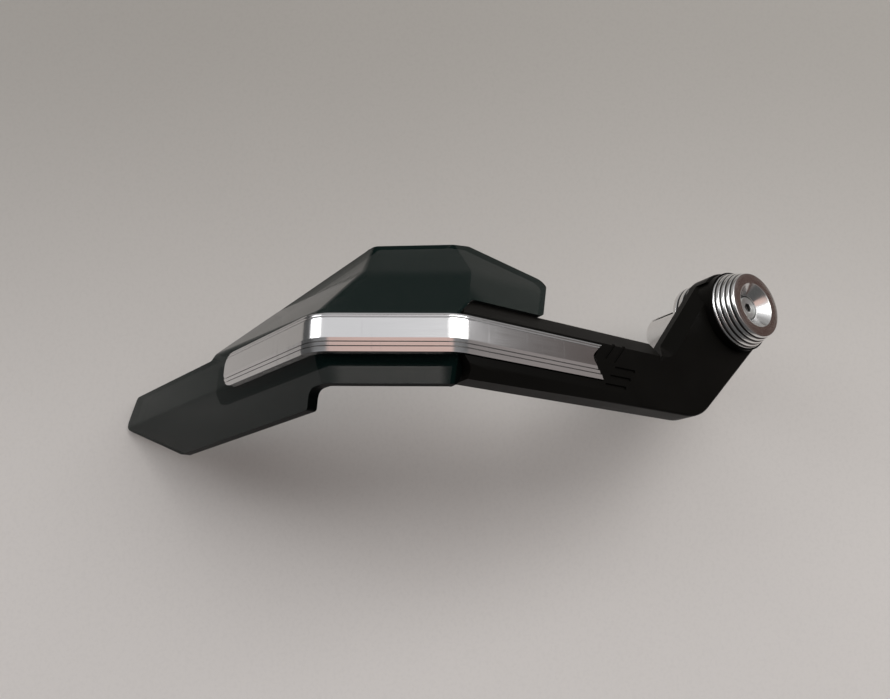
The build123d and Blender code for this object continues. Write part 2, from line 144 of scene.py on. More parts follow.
class Shader:
    """Builds one node tree."""

    def __init__(self, tree: bpy.types.NodeTree) -> None:
        """Start from an empty tree."""
        self.tree = tree
        tree.nodes.clear()

    def node(
        self,
        kind: str,
        settings: dict[str, Any],
        inputs: dict[Any, Any],
        output: Any = 0,
    ) -> Field:
        """Add a node.

        Args:
            kind: Type name of the node.
            settings: Attributes of the node, set before its sockets.
            inputs: Values or fields by socket name or number.
            output: Name or number of the output to return.

        Returns:
            The chosen output, or an empty field for a node without outputs.
        """
        made = self.tree.nodes.new(kind)
        for name, value in settings.items():
            setattr(made, name, value)
        for name, value in inputs.items():
            if isinstance(value, Field):
                self.tree.links.new(value.socket, made.inputs[name])
            else:
                made.inputs[name].default_value = value
        return Field(self, made.outputs[output] if made.outputs else None)

    def place(self, stretch: Triple = (1.0, 1.0, 1.0)) -> Field:
        """Object coordinates in metres, stretched along each axis."""
        at = self.node("ShaderNodeTexCoord", {}, {}, "Object")
        return self.node("ShaderNodeMapping", {}, {"Vector": at, "Scale": stretch})

    def along(self, at: Field, axis: Vector) -> Field:
        """Share of a vector along an axis."""
        settings = {"operation": "DOT_PRODUCT"}
        return self.node("ShaderNodeVectorMath", settings, {0: at, 1: tuple(axis)}, "Value")

    def noise(self, at: Field, scale: float, detail: float = 2.0, rough: float = 0.5) -> Field:
        """Fractal noise from zero to one."""
        inputs = {"Vector": at, "Scale": scale, "Detail": detail, "Roughness": rough}
        return self.node("ShaderNodeTexNoise", {}, inputs)

    def colours(self, factor: Any, first: Any, second: Any, blend: Blend = Blend.MIX) -> Field:
        """Mix of two colours by a factor."""
        settings = {"data_type": "RGBA", "blend_type": blend.value}
        return self.node("ShaderNodeMix", settings, {0: factor, 6: first, 7: second}, 2)

    def bump(self, height: Field, strength: float, distance: float) -> Field:
        """Normal bent by a height field."""
        inputs = {"Height": height, "Strength": strength, "Distance": distance}
        return self.node("ShaderNodeBump", {}, inputs)

    def close(self, surface: Field) -> None:
        """Send a surface to the material's output."""
        self.node("ShaderNodeOutputMaterial", {}, {"Surface": surface})


def rgba(colour: Colour) -> tuple[float, float, float, float]:
    """A colour with full opacity."""
    return (*colour, 1.0)


def shade(colour: Colour, share: float) -> tuple[float, float, float, float]:
    """A colour made darker or lighter by a share, with full opacity."""
    return rgba(tuple(part * share for part in colour))


@dataclass(frozen=True)
class Finish:
    """A surface finish: one principled shader with its own pattern."""

    name: str
    colour: Colour
    roughness: float
    metallic: float = 0.0
    ior: float = 1.45

    def material(self) -> bpy.types.Material:
        """Build the finish.

        Returns:
            A new material with the finish's name.
        """
        made = bpy.data.materials.new(self.name)
        made.use_nodes = True
        shader = Shader(made.node_tree)
        sockets: dict[str, Any] = {
            "Base Color": rgba(self.colour),
            "Roughness": self.roughness,
            "Metallic": self.metallic,
            "IOR": self.ior,
        }
        sockets.update(self.pattern(shader))
        shader.close(self.surface(shader, sockets))
        return made

    def surface(self, shader: Shader, sockets: dict[str, Any]) -> Field:
        """The principled surface with the given sockets."""
        return shader.node("ShaderNodeBsdfPrincipled", {}, sockets)

    def pattern(self, shader: Shader) -> dict[str, Any]:
        """Sockets that change over the surface; none on a plain finish."""
        return {}

    def tone(self, share: float = 1.0) -> tuple[float, float, float, float]:
        """The finish's colour made darker or lighter by a share."""
        return shade(self.colour, share)


@dataclass(frozen=True)
class MouldedBlack(Finish):
    """Satin black with a fine moulded grain and faint handling marks."""

    grain: float = 4200.0
    grain_strength: float = 0.14
    grain_depth: float = 0.06 * MM
    cloud: float = 70.0
    cloud_share: float = 1.7
    cloud_gloss: float = 0.14
    rub: float = 240.0
    rub_stretch: Triple = (1.0, 0.12, 1.0)
    rub_span: Pair = (0.58, 0.75)
    rub_gloss: float = 0.06

    def pattern(self, shader: Shader) -> dict[str, Any]:
        """Moulded grain, cloudy gloss and rubbed marks.

        Args:
            shader: Tree to add nodes to.

        Returns:
            Fields by the principled shader's socket names.
        """
        grain = shader.noise(shader.place(), self.grain, 2.0)
        cloud = shader.noise(shader.place(), self.cloud, 3.0)
        rub = shader.noise(shader.place(self.rub_stretch), self.rub, 3.0).ramp(*self.rub_span)
        return {
            "Base Color": shader.colours(cloud, self.tone(), self.tone(self.cloud_share)),
            "Roughness": self.roughness + self.cloud_gloss * (cloud - 0.5) - self.rub_gloss * rub,
            "Normal": shader.bump(grain, self.grain_strength, self.grain_depth),
        }


@dataclass(frozen=True)
class SmokedSheet(Finish):
    """Glossy smoked sheet that lets a little of what is behind it through."""

    cover_low: float = 0.66
    cover_high: float = 0.86
    lower_fold: float = -34.2 * MM
    lower_reach: float = 3 * MM
    lip_fold: float = -2.7 * MM
    lip_reach: float = 1 * MM
    lip_share: float = 0.35
    band_axis: Triple = (0.515, 0.857, 0.0)
    band_start: float = 93.9 * MM
    band_end: Pair = (-36.0 * MM, -31.0 * MM)
    nose_span: Pair = (1.5 * MM, 5.0 * MM)
    wing_share: float = 0.40
    cloud: float = 24.0
    cloud_share: float = 0.75
    cloud_gloss: float = 0.04
    ripple: float = 38.0
    ripple_strength: float = 0.05
    ripple_depth: float = 0.4 * MM
    dust: float = 2600.0
    dust_span: Pair = (0.70, 0.80)
    dust_gloss: float = 0.10
    wipe: float = 288.0
    wipe_stretch: Triple = (0.3, 0.3, 1.0)
    wipe_span: Pair = (0.5, 0.8)
    wipe_gloss: float = 0.05

    def pattern(self, shader: Shader) -> dict[str, Any]:
        """Ripple of a formed sheet, dust and wiped streaks in the gloss, and how much shows through.

        Args:
            shader: Tree to add nodes to.

        Returns:
            Fields by the principled shader's socket names.
        """
        cloud = shader.noise(shader.place(), self.cloud, 2.0)
        ripple = shader.noise(shader.place(), self.ripple, 1.0)
        dust = shader.noise(shader.place(), self.dust, 1.0).ramp(*self.dust_span)
        wipe = shader.noise(shader.place(self.wipe_stretch), self.wipe, 3.0).ramp(*self.wipe_span)
        height = shader.along(shader.place(), Vector((0.0, 0.0, 1.0)))
        run = shader.along(shader.place(), Vector(self.band_axis)) - self.band_start
        fold = -self.lower_fold
        low = (0.0 - height).ramp(fold - self.lower_reach, fold + self.lower_reach)
        band = (0.0 - run).ramp(*self.band_end)
        nose = run.ramp(*self.nose_span)
        lip = height.ramp(self.lip_fold - self.lip_reach, self.lip_fold + self.lip_reach)
        clear = low * nose * (self.wing_share + (1 - self.wing_share) * band)
        clear = clear + self.lip_share * lip
        marks = self.cloud_gloss * cloud + self.dust_gloss * dust + self.wipe_gloss * wipe
        return {
            "Base Color": shader.colours(cloud, self.tone(self.cloud_share), self.tone()),
            "Roughness": self.roughness + marks,
            "Normal": shader.bump(ripple, self.ripple_strength, self.ripple_depth),
            "Alpha": self.cover_high - (self.cover_high - self.cover_low) * clear,
        }


@dataclass(frozen=True)
class BrushedAluminium(Finish):
    """Satin aluminium brushed along the strip, with rubbed patches and short marks across it."""

    streak: float = 5200.0
    streak_stretch: Triple = (0.012, 0.012, 1.0)
    streak_share: float = 0.86
    streak_gloss: float = 0.10
    streak_strength: float = 0.10
    streak_depth: float = 0.04 * MM
    cloud: float = 90.0
    cloud_gloss: float = 0.10
    mark: float = 900.0
    mark_stretch: Triple = (1.0, 1.0, 0.04)
    mark_span: Pair = (0.60, 0.74)
    mark_cover: float = 0.25
    mark_share: float = 0.7
    mark_gloss: float = 0.08

    def pattern(self, shader: Shader) -> dict[str, Any]:
        """Streaks along the strip, cloudy gloss and marks across it.

        Args:
            shader: Tree to add nodes to.

        Returns:
            Fields by the principled shader's socket names.
        """
        streak = shader.noise(shader.place(self.streak_stretch), self.streak, 3.0, 0.6)
        cloud = shader.noise(shader.place(), self.cloud, 3.0)
        mark = shader.noise(shader.place(self.mark_stretch), self.mark, 2.0).ramp(*self.mark_span)
        brushed = shader.colours(streak, self.tone(self.streak_share), self.tone())
        marked = self.tone(self.mark_share)
        gloss = self.streak_gloss * (streak - 0.5) + self.cloud_gloss * (cloud - 0.5)
        return {
            "Base Color": shader.colours(self.mark_cover * mark, brushed, marked),
            "Roughness": self.roughness + gloss + self.mark_gloss * mark,
            "Normal": shader.bump(streak, self.streak_strength, self.streak_depth),
        }


@dataclass(frozen=True)
class TurnedAluminium(Finish):
    """Bright aluminium with the fine rings that a lathe leaves."""

    pitch: float = 0.16 * MM
    feed: float = 0.7
    waver: float = 2.0
    ring_gloss: float = 0.03
    ring_strength: float = 0.10
    ring_depth: float = 0.008 * MM
    cloud: float = 300.0
    cloud_share: float = 0.9
    cloud_gloss: float = 0.06

    def pattern(self, shader: Shader) -> dict[str, Any]:
        """Rings about the bar's axis.

        Args:
            shader: Tree to add nodes to.

        Returns:
            Fields by the principled shader's socket names.
        """
        at = shader.place()
        x, y, z = (shader.along(at, axis) for axis in Matrix.Identity(3))
        radius = (y * y + z * z).root()
        cloud = shader.noise(at, self.cloud, 2.0)
        turns = (radius + self.feed * x) * (math.tau / self.pitch)
        rings = (turns + self.waver * cloud).sine()
        return {
            "Base Color": shader.colours(cloud, self.tone(self.cloud_share), self.tone()),
            "Roughness": self.roughness + self.ring_gloss * rings + self.cloud_gloss * (cloud - 0.5),
            "Normal": shader.bump(rings, self.ring_strength, self.ring_depth),
        }


@dataclass(frozen=True)
class PlatedSteel(Finish):
    """Plated or blackened steel with a faint mottled finish."""

    mottle: float = 900.0
    mottle_share: float = 0.7
    mottle_gloss: float = 0.15
    mottle_strength: float = 0.08
    mottle_depth: float = 0.03 * MM

    def pattern(self, shader: Shader) -> dict[str, Any]:
        """Mottled gloss and colour.

        Args:
            shader: Tree to add nodes to.

        Returns:
            Fields by the principled shader's socket names.
        """
        mottle = shader.noise(shader.place(), self.mottle, 3.0)
        return {
            "Base Color": shader.colours(mottle, self.tone(self.mottle_share), self.tone()),
            "Roughness": self.roughness + self.mottle_gloss * (mottle - 0.5),
            "Normal": shader.bump(mottle, self.mottle_strength, self.mottle_depth),
        }


@dataclass(frozen=True)
class TableTop(Finish):
    """Pale laminate, seen from its upper side only, with painted shade that dims it towards its far
    side.
    """

    far_axis: Triple = (0.0, 0.0, 1.0)
    far_span: Pair = (-0.2, 0.2)
    far_shade_tint: Colour = (1.0, 0.985, 0.94)
    far_shade_share: float = 0.48
    cloud: float = 9.0
    cloud_share: float = 0.95
    fleck: float = 700.0
    fleck_span: Pair = (0.4, 0.75)
    fleck_cover: float = 0.25
    fleck_share: float = 0.86

    def pattern(self, shader: Shader) -> dict[str, Any]:
        """Cloudy colour, faint flecks and painted shade towards the far side.

        Args:
            shader: Tree to add nodes to.

        Returns:
            Fields by the principled shader's socket names.
        """
        cloud = shader.noise(shader.place(), self.cloud, 3.0)
        fleck = shader.noise(shader.place(), self.fleck, 2.0).ramp(*self.fleck_span)
        pale = shader.colours(cloud, self.tone(self.cloud_share), self.tone())
        flecked = shader.colours(self.fleck_cover * fleck, pale, self.tone(self.fleck_share))
        # Painted shade: the colour is dimmed and warmed towards the far side, standing in for light
        # falling off.
        away = shader.along(shader.place(), Vector(self.far_axis)).ramp(*self.far_span)
        dim = shade(self.far_shade_tint, self.far_shade_share)
        return {"Base Color": shader.colours(away, flecked, dim, Blend.MULTIPLY)}

    def surface(self, shader: Shader, sockets: dict[str, Any]) -> Field:
        """The laminate from above, and nothing from below.

        Args:
            shader: Tree to add nodes to.
            sockets: Values or fields of the laminate's own sockets.

        Returns:
            The mixed surface.
        """
        front = super().surface(shader, sockets)
        clear = shader.node("ShaderNodeBsdfTransparent", {}, {})
        below = shader.node("ShaderNodeNewGeometry", {}, {}, "Backfacing")
        return shader.node("ShaderNodeMixShader", {}, {0: below, 1: front, 2: clear})


ARM_BLACK = MouldedBlack("arm_black", (0.0028, 0.0026, 0.0022), 0.40, ior=1.13)
SMOKED_SHEET = SmokedSheet("smoked_sheet", (0.0033, 0.0110, 0.0098), 0.05, ior=1.17)
SHEET_EDGE = MouldedBlack("sheet_edge", (0.002, 0.003, 0.0028), 0.30, ior=1.06)
SATIN_ALUMINIUM = BrushedAluminium("satin_aluminium", (0.76, 0.755, 0.76), 0.15, metallic=1.0)
TURNED_ALUMINIUM = TurnedAluminium("turned_aluminium", (0.86, 0.855, 0.85), 0.20, metallic=1.0)
# Dark grey painted on groove floors and in the bolt's hex socket: painted shade, not a plating of its
# own.
GROOVE_SHADE = PlatedSteel("painted_groove_shade", (0.14, 0.135, 0.13), 0.45, metallic=1.0)
BOLT_STEEL = PlatedSteel("bolt_steel", (0.80, 0.82, 0.81), 0.34, metallic=1.0)
SCREW_BLACK = PlatedSteel("screw_black", (0.03, 0.03, 0.03), 0.35, metallic=1.0)
TABLE_TOP = TableTop("table_top", (0.785, 0.757, 0.733), 0.6)


@dataclass(frozen=True)
class SoftEdge:
    """Rounding of the edges of a moulded, cut or machined piece."""

    width: float
    segments: int = 3
    angle: float = math.radians(32.0)
    finish: int = -1
    flat_weight: int = 100

    def apply(self, piece: bpy.types.Object) -> None:
        """Round the sharp edges of a piece and keep its flats flat.

        Args:
            piece: Object with a merged mesh.
        """
        piece.data.shade_smooth()
        bevel = piece.modifiers.new("soft_edge", "BEVEL")
        bevel.limit_method = "ANGLE"
        bevel.angle_limit = self.angle
        bevel.width = self.width
        bevel.segments = self.segments
        bevel.material = self.finish
        weld = piece.modifiers.new("joined_corners", "WELD")
        weld.merge_threshold = MERGE
        even = piece.modifiers.new("even_flats", "WEIGHTED_NORMAL")
        even.mode = "FACE_AREA_WITH_ANGLE"
        even.weight = self.flat_weight


def place_piece(
    name: str,
    shape: bmesh.types.BMesh,
    finish: bpy.types.Material,
    node: str,
) -> bpy.types.Object:
    """Turn a shape into a piece that stands for a CAD node.

    Args:
        name: Name of the piece.
        shape: Its shape, which is freed.
        finish: Its material.
        node: The CAD node that it replaces.

    Returns:
        The new object, riding on the guard's body.
    """
    mesh = bpy.data.meshes.new(name)
    shape.to_mesh(mesh)
    shape.free()
    mesh.materials.append(finish)
    piece = bpy.data.objects.new(name, mesh)
    bpy.context.scene.collection.objects.link(piece)
    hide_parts(node)
    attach(piece, BODY)
    LOG.info("made %s for %s with %s", name, node, finish.name)
    return piece


def soft_copy(node: str, name: str, finish: bpy.types.Material, edge: SoftEdge) -> bpy.types.Object:
    """Copy a CAD node with its flats merged and its edges rounded.

    Args:
        node: Name of the node.
        name: Name of the new piece.
        finish: Its material.
        edge: Rounding of its edges.

    Returns:
        The new piece.
    """
    shape = bmesh.new()
    shape.from_mesh(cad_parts[node].data)
    bmesh.ops.remove_doubles(shape, verts=shape.verts[:], dist=MERGE)
    bmesh.ops.dissolve_limit(shape, angle_limit=FLAT_ANGLE, verts=shape.verts[:], edges=shape.edges[:])
    piece = place_piece(name, shape, finish, node)
    stale = piece.data.attributes.get("custom_normal")
    if stale:
        piece.data.attributes.remove(stale)
    edge.apply(piece)
    return piece


def turned_shape(points: list[Pair], corner: float, steps: int) -> bmesh.types.BMesh:
    """Turn a closed profile about the bar's axis.

    Args:
        points: Corners of the profile as places along the bar and radii.
        corner: Rounding of the corners.
        steps: Steps in a full turn.

    Returns:
        The closed shape.
    """
    shape = bmesh.new()
    corners = [shape.verts.new((along, radius, 0.0)) for along, radius in points]
    for first, second in zip(corners, corners[1:] + corners[:1]):
        shape.edges.new((first, second))
    bmesh.ops.bevel(
        shape,
        geom=shape.verts[:] + shape.edges[:],
        offset=corner,
        offset_type="OFFSET",
        segments=CORNER_SEGMENTS,
        profile=0.5,
        affect="VERTICES",
        clamp_overlap=True,
        material=-1,
    )
    bmesh.ops.spin(
        shape,
        geom=shape.verts[:] + shape.edges[:],
        cent=(0.0, 0.0, 0.0),
        axis=(1.0, 0.0, 0.0),
        angle=math.tau,
        steps=steps,
        use_merge=True,
    )
    bmesh.ops.remove_doubles(shape, verts=shape.verts[:], dist=MERGE)
    bmesh.ops.recalc_face_normals(shape, faces=shape.faces[:])
    return shape


def faces_in(made: list[Any]) -> list[bmesh.types.BMFace]:
    """The faces among what an operator made."""
    return [part for part in made if isinstance(part, bmesh.types.BMFace)]


def smooth_drawn(piece: bpy.types.Object, crease: float) -> None:
    """Shade a turned or drawn piece smooth, apart from corners sharper than the crease."""
    piece.data.shade_smooth()
    piece.data.set_sharp_from_angle(angle=crease)


@dataclass
class Arm:
    """The moulded arm."""

    edge: SoftEdge = SoftEdge(0.30 * MM)

    def build(self) -> None:
        """Soften and dress the arm."""
        soft_copy("guard_arm", "moulded_arm", ARM_BLACK.material(), self.edge)


@dataclass
class Deflector:
    """The folded smoked sheet, darker where it is seen through its cut edges."""

    thickness: float = 2.5 * MM
    cut_angle: float = math.radians(40.0)
    narrow_share: float = 0.6
    apart_share: float = 1.6
    edge: SoftEdge = SoftEdge(0.60 * MM, finish=1)

    def middle(self, edge: bmesh.types.BMEdge) -> Vector:
        """Middle of an edge."""
        return (edge.verts[0].co + edge.verts[1].co) / 2

    def is_cut(self, face: bmesh.types.BMFace) -> bool:
        """Tell whether a face is part of the sheet's cut edge.

        Args:
            face: A face of the merged sheet.

        Returns:
            True for a narrow face between two square edges that lie one thickness apart.
        """
        if face.calc_area() > face.calc_perimeter() * self.thickness * self.narrow_share:
            return False
        closed = [edge for edge in face.edges if len(edge.link_faces) == 2]
        square = [edge for edge in closed if edge.calc_face_angle() > self.cut_angle]
        for first in square:
            for second in square:
                apart = not set(first.verts) & set(second.verts)
                across = self.middle(first) - self.middle(second)
                if apart and across.length < self.thickness * self.apart_share:
                    return True
        return False

    def build(self) -> None:
        """Soften and dress the sheet and its cut edges."""
        piece = soft_copy("wind_deflector", "smoked_deflector", SMOKED_SHEET.material(), self.edge)
        piece.data.materials.append(SHEET_EDGE.material())
        shape = bmesh.new()
        shape.from_mesh(piece.data)
        for face in shape.faces:
            face.material_index = int(self.is_cut(face))
        shape.to_mesh(piece.data)
        shape.free()


@dataclass
class TrimStrip:
    """The grooved aluminium strip, drawn along the bent line of the guard."""

    thickness: float = 2.5 * MM
    bend_y: float = 117.4 * MM
    bend_1: float = math.radians(31.0)
    mid_length: float = 38.6 * MM
    bend_2: float = math.radians(47.0)
    bend_radius: float = 9.0 * MM
    end_run: float = 51.0 * MM
    end_radius: float = 4.5 * MM
    fishtail_depth: float = 3.8 * MM
    fishtail_rise: float = 1.2 * MM
    fishtail_round: float = 1.2 * MM
    step_count: int = 2
    step_width: float = 0.8 * MM
    step_lean: float = 0.13 * MM
    step_depth: float = 0.22 * MM
    tooth_count: int = 3
    tooth_pitch: float = 1.3 * MM
    tooth_lean: float = 0.27 * MM
    last_lean: float = 1.4
    groove_width: float = 0.40 * MM
    groove_depth: float = 0.70 * MM
    floor_span: Pair = (0.2, 0.8)
    floor_reach: float = 0.35
    face_points: int = 14
    lead: float = 0.12 * MM
    bend_steps: int = 24
    crease: float = math.radians(12.0)

    def front(self, half: float) -> list[Pair]:
        """Front of the strip's section, from its top to its bottom.

        Args:
            half: Half of the strip's width.

        Returns:
            Points as distances from the seat and heights over the middle line.
        """
        full = self.thickness
        near, away = (self.groove_width * share for share in self.floor_span)
        points = []
        for step in range(self.step_count):
            high = half - self.step_width * step
            low = high - self.step_width + self.groove_width
            points.append((full - self.step_lean, high))
            points.append((full, low))
            points.append((full - self.step_depth, low - near))
            points.append((full - self.step_depth, low - away))
        top = half - self.step_width * self.step_count
        bottom = self.tooth_pitch * self.tooth_count - half
        for share in range(self.face_points + 1):
            points.append((full, top + (bottom - top) * share / self.face_points))
        for tooth in range(self.tooth_count):
            low = bottom - self.tooth_pitch * (tooth + 1)
            points.append((full - self.tooth_lean, low + self.groove_width))
            if tooth < self.tooth_count - 1:
                points.append((full - self.groove_depth, low + away))
                points.append((full - self.groove_depth, low + near))
                points.append((full, low))
        return points + [(full - self.tooth_lean * self.last_lean, -half)]

    def paint_groove_shade(self, piece: bpy.types.Object, level: float, half: float) -> None:
        """Paint shade on the floors of the lower grooves with a dark material.

        Args:
            piece: The drawn strip.
            level: Height of its middle line.
            half: Half of its width.
        """
        middle = self.groove_width / 2
        teeth = range(1, self.tooth_count)
        grooves = [self.tooth_pitch * tooth - half + middle for tooth in teeth]
        # The groove floors get a dark grey as painted shade.
        piece.data.materials.append(GROOVE_SHADE.material())
        for face in piece.data.polygons:
            height = face.center.z - level
            off = min(abs(height - groove) for groove in grooves)
            face.material_index = int(off < self.groove_width * self.floor_reach)

    def fishtail(self, height: float, half: float) -> float:
        """How far the notched end is cut back.

        Args:
            height: Height over the middle line.
            half: Half of the strip's width.

        Returns:
            The cut at that height, deepest at the notch and nothing at the two tips.
        """
        side = height - self.fishtail_rise
        reach = half - self.fishtail_rise if side > 0 else half + self.fishtail_rise
        rise = math.hypot(side, self.fishtail_round) - self.fishtail_round
        full = math.hypot(reach, self.fishtail_round) - self.fishtail_round
        return self.fishtail_depth * (1 - rise / full)

    def round_end(self, height: float, half: float) -> float:
        """How far the rounded end is cut back at a height over the middle line."""
        corner = max(0.0, abs(height) - (half - self.end_radius))
        return self.end_radius - math.sqrt(max(0.0, self.end_radius**2 - corner**2))

    def draw(
        self,
        shape: bmesh.types.BMesh,
        ends: list[bmesh.types.BMFace],
        heading: float,
        *runs: float,
    ) -> list[bmesh.types.BMFace]:
        """Draw the end of the strip on along a heading.

        Args:
            shape: The strip so far.
            ends: Faces of its open end.
            heading: Heading of the runs, turning from +Y towards +X.
            runs: Lengths of the runs.

        Returns:
            The faces of the new end.
        """
        along = Vector((math.sin(heading), math.cos(heading), 0.0))
        for run in runs:
            made = bmesh.ops.extrude_face_region(shape, geom=ends)["geom"]
            moved = [part for part in made if isinstance(part, bmesh.types.BMVert)]
            bmesh.ops.translate(shape, vec=along * run, verts=moved)
            bmesh.ops.delete(shape, geom=ends, context="FACES_ONLY")
            ends = faces_in(made)
        return ends

    def bend(
        self,
        shape: bmesh.types.BMesh,
        ends: list[bmesh.types.BMFace],
        heading: float,
        turn: float,
    ) -> list[bmesh.types.BMFace]:
        """Bend the end of the strip inboard.

        Args:
            shape: The strip so far.
            ends: Faces of its open end.
            heading: Heading before the bend.
            turn: Angle of the bend.

        Returns:
            The faces of the new end.
        """
        inward = Vector((math.cos(heading), -math.sin(heading), 0.0))
        places = [vertex.co for face in ends for vertex in face.verts]
        seat = max(places, key=lambda place: place.dot(inward))
        made = bmesh.ops.spin(
            shape,
            geom=ends,
            cent=seat + inward * self.bend_radius,
            axis=(0.0, 0.0, 1.0),
            angle=-turn,
            steps=self.bend_steps,
        )["geom_last"]
        left = [face for face in ends if face.is_valid]
        bmesh.ops.delete(shape, geom=left, context="FACES_ONLY")
        return faces_in(made)

    def build(self) -> None:
        """Draw the section along the guard line and cut its two ends."""
        low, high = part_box("trim_strip")
        half = (high.z - low.z) / 2
        level = (high.z + low.z) / 2
        seat = low.x + self.thickness
        front = self.front(half)
        back = [(0.0, height) for _, height in reversed(front)]
        shape = bmesh.new()
        section = [
            shape.verts.new((seat - out, low.y, level + height))
            for out, height in front + back
        ]
        first = shape.faces.new(section)
        tangent_1 = self.bend_radius * math.tan(self.bend_1 / 2)
        tangent_2 = self.bend_radius * math.tan(self.bend_2 / 2)
        heading_2 = self.bend_1 + self.bend_2
        lead = self.lead
        run_1 = self.bend_y - tangent_1 - low.y - lead
        run_2 = self.mid_length - tangent_1 - tangent_2 - 2 * lead
        run_3 = self.end_run - tangent_2 - lead
        ends = faces_in(bmesh.ops.duplicate(shape, geom=[first])["geom"])
        ends = self.draw(shape, ends, 0.0, run_1, lead)
        ends = self.bend(shape, ends, 0.0, self.bend_1)
        ends = self.draw(shape, ends, self.bend_1, lead, run_2, lead)
        ends = self.bend(shape, ends, self.bend_1, self.bend_2)
        self.draw(shape, ends, heading_2, lead, run_3)
        bmesh.ops.remove_doubles(shape, verts=shape.verts[:], dist=MERGE)
        along = Vector((math.sin(heading_2), math.cos(heading_2), 0.0))
        last = max(vertex.co.dot(along) for vertex in shape.verts)
        for vertex in shape.verts:
            height = vertex.co.z - level
            if vertex.co.y < low.y + MERGE:
                vertex.co.y += self.fishtail(height, half)
            elif vertex.co.dot(along) > last - MERGE:
                vertex.co -= along * self.round_end(height, half)
        bmesh.ops.recalc_face_normals(shape, faces=shape.faces[:])
        piece = place_piece("grooved_strip", shape, SATIN_ALUMINIUM.material(), "trim_strip")
        smooth_drawn(piece, self.crease)
        self.paint_groove_shade(piece, level, half)


@dataclass
class BarEnd:
    """The stack on the bar's axis: turned cap and collar, plug, bolt and nut."""

    cap_face_radius: float = 11.8 * MM
    cone_radius: float = 8.2 * MM
    cone_depth: float = 3.4 * MM
    head_radius: float = 4.5 * MM
    head_room: float = 3.2 * MM
    head_split: float = 1.8 * MM
    socket_radius: float = 1.9 * MM
    bore: float = 2.8 * MM
    cap_rings: int = 5
    collar_rings: int = 3
    ring_depth: float = 0.75 * MM
    ridge_share: float = 0.56
    wall_share: float = 0.07
    floor_span: Pair = (0.45, 1.2)
    recess_radius: float = 9.05 * MM
    recess_depth: float = 1.0 * MM
    corner: float = 0.16 * MM
    steps: int = 160
    crease: float = math.radians(50.0)
    edge: SoftEdge = SoftEdge(0.12 * MM)
    head_edge: SoftEdge = SoftEdge(0.45 * MM, 4)

    def ringed_wall(self, start: Pair, end: Pair, count: int) -> list[Pair]:
        """Wall of raised rings with grooves between them.

        Args:
            start: Place along the bar and radius where the wall starts.
            end: Place and radius where it ends.
            count: Number of rings.

        Returns:
            Corners of the wall: for each ring the end of its flat, its groove and the next flat's start.
        """
        groove = (
            (self.ridge_share, 0.0),
            (self.ridge_share + self.wall_share, self.ring_depth),
            (1 - self.wall_share, self.ring_depth),
            (1.0, 0.0),
        )
        corners = [start]
        for ring in range(count - 1):
            for share, depth in groove:
                step = (ring + share) / (count - 1 + self.ridge_share)
                corners.append((
                    start[0] + (end[0] - start[0]) * step,
                    start[1] + (end[1] - start[1]) * step - depth,
                ))
        return corners + [end]

    def cap(self, finish: bpy.types.Material) -> None:
        """Turn the ringed cap with its cone.

        Args:
            finish: Material of the cap.
        """
        low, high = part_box("bar_end_cap")
        floor = low.x + self.cone_depth
        wall = self.ringed_wall((high.x, high.y), (low.x, self.cap_face_radius), self.cap_rings)
        points = [(high.x, self.bore)] + wall + [
            (low.x, self.cone_radius),
            (floor, self.head_radius),
            (floor + self.head_room, self.head_radius),
            (floor + self.head_room, self.bore),
        ]
        shape = turned_shape(points, self.corner, self.steps)
        piece = place_piece("ringed_cap", shape, finish, "bar_end_cap")
        smooth_drawn(piece, self.crease)
        self.paint_groove_shade(piece, (high.x, high.y), (low.x, self.cap_face_radius))

    def collar(self, finish: bpy.types.Material) -> None:
        """Turn the ringed collar with its recess.

        Args:
            finish: Material of the collar.
        """
        low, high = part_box("spacer_collar")
        wall = self.ringed_wall((low.x, high.y), (high.x, high.y), self.collar_rings)
        points = [(low.x, self.bore)] + wall + [
            (high.x, self.recess_radius),
            (high.x - self.recess_depth, self.recess_radius),
            (high.x - self.recess_depth, self.bore),
        ]
        shape = turned_shape(points, self.corner, self.steps)
        piece = place_piece("ringed_collar", shape, finish, "spacer_collar")
        smooth_drawn(piece, self.crease)
        self.paint_groove_shade(piece, (low.x, high.y), (high.x, high.y))

    def paint_groove_shade(self, piece: bpy.types.Object, start: Pair, end: Pair) -> None:
        """Paint shade on the groove floors of a ringed wall with a dark material.

        Args:
            piece: A turned piece with a ringed wall.
            start: Place along the bar and radius where the wall starts.
            end: Place and radius where it ends.
        """
        shallow, deep = (self.ring_depth * share for share in self.floor_span)
        # The groove floors get a dark grey as painted shade.
        piece.data.materials.append(GROOVE_SHADE.material())
        for face in piece.data.polygons:
            share = (face.center.x - start[0]) / (end[0] - start[0])
            below = start[1] + (end[1] - start[1]) * share - face.center.yz.length
            face.material_index = int(shallow < below < deep)

    def raise_head(self, piece: bpy.types.Object) -> None:
        """Bring the bolt's head up to the cone's inner edge and paint shade into its socket.

        Args:
            piece: The softened bolt.
        """
        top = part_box("bar_end_bolt")[0].x
        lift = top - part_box("bar_end_cap")[0].x - self.cone_depth
        for vertex in piece.data.vertices:
            if vertex.co.x < top + self.head_split:
                vertex.co.x -= lift
        # The hex socket gets a dark grey as painted shade.
        piece.data.materials.append(GROOVE_SHADE.material())
        for face in piece.data.polygons:
            corners = [piece.data.vertices[index].co for index in face.vertices]
            inside = max(corner.yz.length for corner in corners) < self.socket_radius
            face.material_index = int(inside and face.center.x < top + self.head_split)

    def build(self) -> None:
        """Make the turned pieces and soften the rest."""
        bright = TURNED_ALUMINIUM.material()
        plate = BOLT_STEEL.material()
        self.cap(bright)
        self.collar(bright)
        soft_copy("plug_sleeve", "split_plug", bright, self.edge)
        self.raise_head(soft_copy("bar_end_bolt", "low_head_bolt", plate, self.head_edge))
        soft_copy("wedge_nut", "tapered_nut", plate, self.edge)


